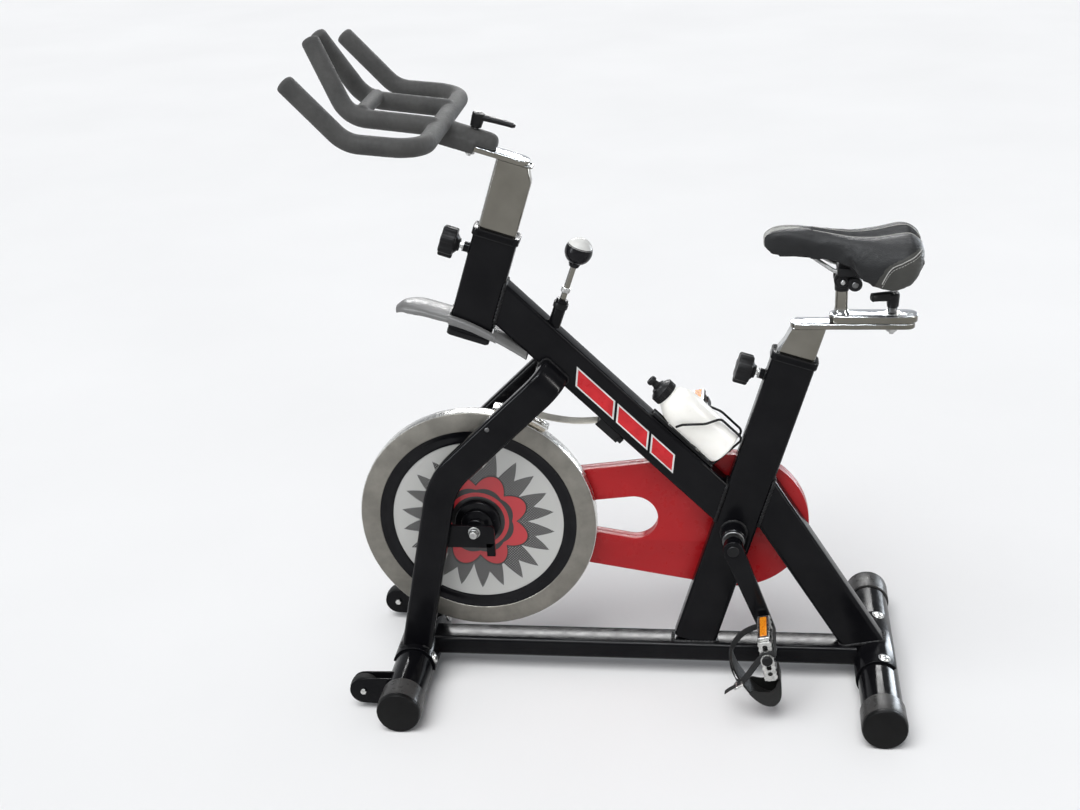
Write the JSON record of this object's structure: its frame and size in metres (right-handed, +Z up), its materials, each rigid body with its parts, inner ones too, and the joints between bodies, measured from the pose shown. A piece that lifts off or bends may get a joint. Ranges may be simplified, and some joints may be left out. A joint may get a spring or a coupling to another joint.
{
  "type": "indoor spin bike",
  "caption": "Stationary spin bike: a weighted flywheel driven by cranks and a belt, under a friction brake, with a saddle and handlebar that adjust in height and reach.",
  "frame": {"origin": "on the floor, below the middle of the bounding box", "axes": "+Z up, -X is the way the rider faces, -Y is the rider's left side and +Y the side of the belt guard"},
  "size_m": [1.0554, 0.497, 1.2588],
  "materials": {
    "black_paint": "glossy black powder coat",
    "black_plastic": "moulded black, lightly textured",
    "cap_grey": "grey band with a black end",
    "guard_grey": "silver grey, satin",
    "guard_red": "glossy red",
    "chrome": "polished",
    "steel": "zinc plated or turned",
    "clamp_black": "black",
    "cast_iron": "painted web, polished rim",
    "grip_foam": "dark grey dipped foam",
    "rubber": "matt black",
    "saddle_cover": "black leatherette, sewn",
    "webbing": "cream woven strap",
    "felt": "pressed wool felt",
    "bottle_clear": "milky translucent"
  },
  "bodies": {
    "frame": {"base_rail": "black_paint", "seat_tube": "black_paint", "head_tube": "black_paint", "main_tube": "black_paint", "rear_strut": "black_paint", "fork_leg_left": "black_paint", "fork_leg_right": "black_paint", "bottom_bracket_shell": "black_paint", "front_bracket": "black_paint", "rear_bracket": "black_paint", "front_stabilizer": "black_paint", "rear_stabilizer": "black_paint", "front_cap_left": "cap_grey", "front_cap_right": "cap_grey", "rear_cap_left": "cap_grey", "rear_cap_right": "cap_grey", "head_bushing": "black_plastic", "seat_bushing": "black_plastic", "head_plug": "black_plastic", "sweat_guard": "guard_grey", "brake_strap": "webbing", "guard_inner": "guard_red", "guard_outer": "guard_red", "drive_belt": "rubber", "flywheel_axle": "steel", "bottle_cage": "black_paint", "crank_bearing_left": "steel", "crank_bearing_right": "steel"},
    "flywheel": {"flywheel": "cast_iron", "flywheel_pulley": "steel", "hub_bearing_left": "steel", "hub_bearing_right": "steel"},
    "crank": {"crank_spindle": "steel", "drive_pulley": "steel", "crank_left": "black_paint", "crank_right": "black_paint"},
    "pedal_left": {"pedal_left": "steel", "toe_cage_left": "black_plastic"},
    "pedal_right": {"pedal_right": "steel", "toe_cage_right": "black_plastic"},
    "handlebar_post": {"handlebar_post": "chrome"},
    "handlebar": {"handlebar": "grip_foam", "handlebar_clamp_bolt": "steel"},
    "handlebar_lever": {"handlebar_lever": "black_plastic"},
    "pop_pin_front": {"pop_pin_front": "black_plastic"},
    "seat_post": {"seat_post": "chrome"},
    "saddle_slider": {"saddle_slider": "chrome", "seat_clamp_bolt": "steel"},
    "seat_lever": {"seat_lever": "black_plastic"},
    "saddle": {"saddle": "saddle_cover", "saddle_rails": "steel", "saddle_clamp": "clamp_black"},
    "pop_pin_seat": {"pop_pin_seat": "black_plastic"},
    "brake_knob": {"brake_knob": "black_plastic"},
    "brake_pad": {"brake_pad": "felt"},
    "transport_wheel_left": {"transport_wheel_left": "rubber"},
    "transport_wheel_right": {"transport_wheel_right": "rubber"},
    "bottle": {"bottle": "bottle_clear", "bottle_cap": "black_plastic"},
    "bottle_spout": {"bottle_spout": "black_plastic"}
  },
  "joints": [
    {"name": "flywheel_spin", "type": "hinge", "parent": "frame", "child": "flywheel", "pos_m": [-0.2833, 0, 0.325], "axis": [0, 1, 0], "continuous": true},
    {"name": "crank_spin", "type": "hinge", "parent": "frame", "child": "crank", "pos_m": [0.2032, 0, 0.315], "axis": [0, 1, 0], "continuous": true},
    {"name": "pedal_left_spin", "type": "hinge", "parent": "crank", "child": "pedal_left", "pos_m": [0.26591, -0.15, 0.15162], "axis": [0, 1, 0], "continuous": true},
    {"name": "pedal_right_spin", "type": "hinge", "parent": "crank", "child": "pedal_right", "pos_m": [0.14049, 0.15, 0.47838], "axis": [0, 1, 0], "continuous": true},
    {"name": "handlebar_height", "type": "slide", "parent": "frame", "child": "handlebar_post", "axis": [0.309, 0, 0.9511], "range_m": [-0.05, 0.05]},
    {"name": "handlebar_reach", "type": "slide", "parent": "handlebar_post", "child": "handlebar", "axis": [0.9511, 0, -0.309], "range_m": [-0.035, 0.035]},
    {"name": "handlebar_lever_turn", "type": "hinge", "parent": "handlebar", "child": "handlebar_lever", "pos_m": [-0.24227, 0, 1.08615], "axis": [0.309, 0, 0.9511], "range_deg": [-90, 90]},
    {"name": "pop_pin_front_pull", "type": "slide", "parent": "frame", "child": "pop_pin_front", "axis": [-0.9511, 0, 0.309], "range_m": [0, 0.01], "stiffness_N_per_m": 1200, "springref_m": -0.004},
    {"name": "seat_height", "type": "slide", "parent": "frame", "child": "seat_post", "axis": [0.2924, 0, 0.9563], "range_m": [-0.025, 0.125]},
    {"name": "seat_reach", "type": "slide", "parent": "seat_post", "child": "saddle_slider", "axis": [1, 0, 0], "range_m": [-0.06, 0.02]},
    {"name": "seat_lever_turn", "type": "hinge", "parent": "saddle_slider", "child": "seat_lever", "pos_m": [0.4767, 0, 0.76], "axis": [0, 0, 1], "range_deg": [-80, 80]},
    {"name": "saddle_tilt", "type": "hinge", "parent": "saddle_slider", "child": "saddle", "pos_m": [0.3882, 0, 0.812], "axis": [0, 1, 0], "range_deg": [-12, 12]},
    {"name": "pop_pin_seat_pull", "type": "slide", "parent": "frame", "child": "pop_pin_seat", "axis": [-0.9563, 0, 0.2924], "range_m": [0, 0.01], "stiffness_N_per_m": 1200, "springref_m": -0.004},
    {"name": "brake_press", "type": "slide", "parent": "frame", "child": "brake_knob", "axis": [-0.3355, 0, -0.9421], "range_m": [0, 0.004], "stiffness_N_per_m": 2500, "springref_m": -0.002},
    {"name": "brake_pad_press", "type": "slide", "parent": "frame", "child": "brake_pad", "axis": [-0.3955, 0, -0.9184], "range_m": [0, 0.004]},
    {"name": "transport_wheel_left_roll", "type": "hinge", "parent": "frame", "child": "transport_wheel_left", "pos_m": [-0.4963, -0.1635, 0.0414], "axis": [0, 1, 0], "continuous": true},
    {"name": "transport_wheel_right_roll", "type": "hinge", "parent": "frame", "child": "transport_wheel_right", "pos_m": [-0.4963, 0.1635, 0.0414], "axis": [0, 1, 0], "continuous": true},
    {"name": "bottle_pull", "type": "slide", "parent": "frame", "child": "bottle", "axis": [-0.7071, 0, 0.7071], "range_m": [0, 0.14]},
    {"name": "spout_pull", "type": "slide", "parent": "bottle", "child": "bottle_spout", "axis": [-0.7071, 0, 0.7071], "range_m": [0, 0.005]}
  ],
  "couplings": [
    {"joint": "crank_spin", "follows": "flywheel_spin", "ratio": 0.37624},
    {"joint": "brake_pad_press", "follows": "brake_press", "ratio": 1}
  ]
}
